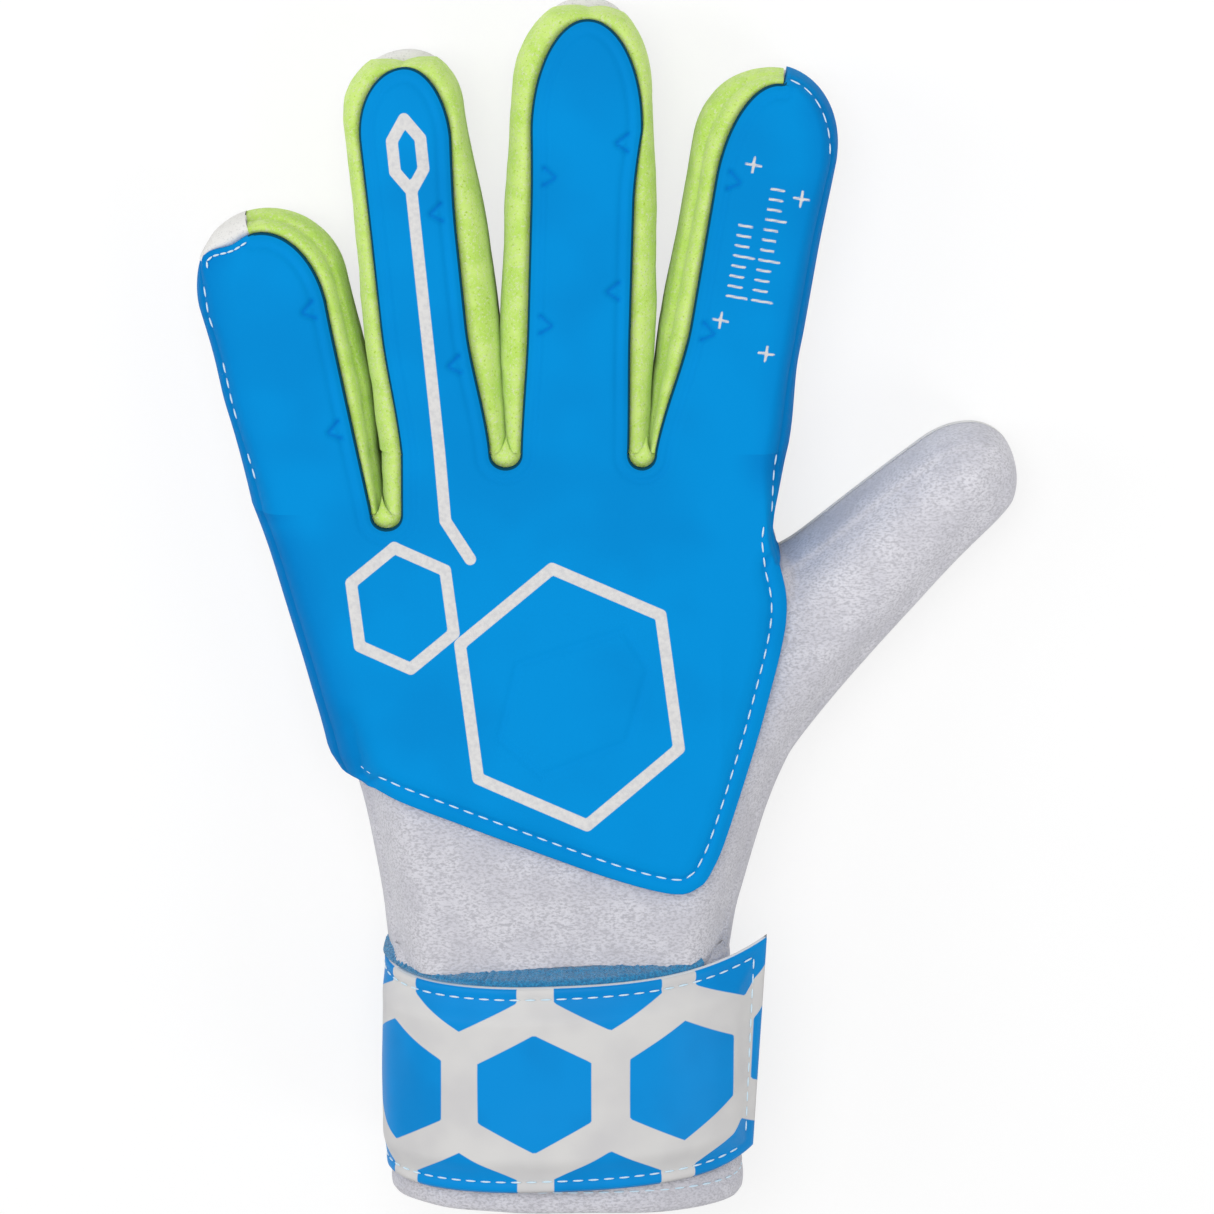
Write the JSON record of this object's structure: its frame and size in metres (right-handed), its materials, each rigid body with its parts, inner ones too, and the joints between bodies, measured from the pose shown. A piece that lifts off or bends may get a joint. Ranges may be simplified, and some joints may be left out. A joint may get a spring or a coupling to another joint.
{
  "type": "goalkeeper glove",
  "caption": "Padded goalkeeper glove for the left hand, with a foam back, soft gussets between the fingers, a latex palm and a broad wrist strap.",
  "frame": {"origin": "on the flat underside of the palm, at its middle", "axes": "+Z out of the back of the hand, +Y towards the fingertips, +X towards the thumb"},
  "size_m": [0.1656, 0.2397, 0.0482],
  "materials": {
    "blue_foam": "matte embossed latex foam",
    "volt_knit": "stretch mesh knit",
    "white_knit": "fine elastic knit",
    "white_latex": "soft matte latex foam",
    "white_lining": "brushed lining",
    "blue_strap": "soft coated fabric with a satin gloss",
    "blue_loop": "fuzzy loop pile",
    "white_hook": "stiff hook tape"
  },
  "bodies": {
    "hand": {"backhand": "blue_foam", "backhand_lining": "white_lining", "palm": "white_latex", "palm_lining": "white_lining", "side_gusset_pinky": "blue_foam", "side_gusset_index": "blue_foam", "web_pinky_ring": "volt_knit", "web_ring_middle": "volt_knit", "web_middle_index": "volt_knit", "wrist_fabric": "white_knit", "thumb_fabric": "white_knit", "cuff_band": "white_knit", "cuff_hem": "white_knit", "loop_patch": "blue_loop", "strap_base": "blue_strap"},
    "strap": {"strap_flap": "blue_strap", "hook_patch": "white_hook"},
    "thumb": {"thumb_back": "white_knit", "thumb_palm": "white_latex"},
    "pinky": {"pinky_back": "blue_foam", "pinky_palm": "white_latex", "pinky_gusset_outer": "blue_foam", "pinky_gusset_inner": "volt_knit"},
    "ring": {"ring_back": "blue_foam", "ring_palm": "white_latex", "ring_gusset_outer": "volt_knit", "ring_gusset_inner": "volt_knit"},
    "middle": {"middle_back": "blue_foam", "middle_palm": "white_latex", "middle_gusset_outer": "volt_knit", "middle_gusset_inner": "volt_knit"},
    "index": {"index_back": "blue_foam", "index_palm": "white_latex", "index_gusset_outer": "blue_foam", "index_gusset_inner": "volt_knit"}
  },
  "joints": [
    {"name": "pinky_bend", "type": "hinge", "parent": "hand", "child": "pinky", "pos_m": [-0.0467, 0.034, 0], "axis": [-0.9781, -0.2079, 0], "range_deg": [0, 80]},
    {"name": "ring_bend", "type": "hinge", "parent": "hand", "child": "ring", "pos_m": [-0.021, 0.046, 0], "axis": [-0.9949, -0.1011, 0], "range_deg": [0, 80]},
    {"name": "middle_bend", "type": "hinge", "parent": "hand", "child": "middle", "pos_m": [0.0054, 0.046, 0], "axis": [-0.9996, 0.0279, 0], "range_deg": [0, 80]},
    {"name": "index_bend", "type": "hinge", "parent": "hand", "child": "index", "pos_m": [0.0337, 0.046, 0], "axis": [-0.986, 0.1668, 0], "range_deg": [0, 80]},
    {"name": "thumb_bend", "type": "hinge", "parent": "hand", "child": "thumb", "pos_m": [0.059, 0.0191, 0], "axis": [-0.6769, 0.7361, 0], "range_deg": [0, 50]},
    {"name": "strap_peel", "type": "hinge", "parent": "hand", "child": "strap", "pos_m": [-0.03454, -0.0765, 0.01732], "axis": [0, -1, 0], "range_deg": [0, 140]}
  ]
}
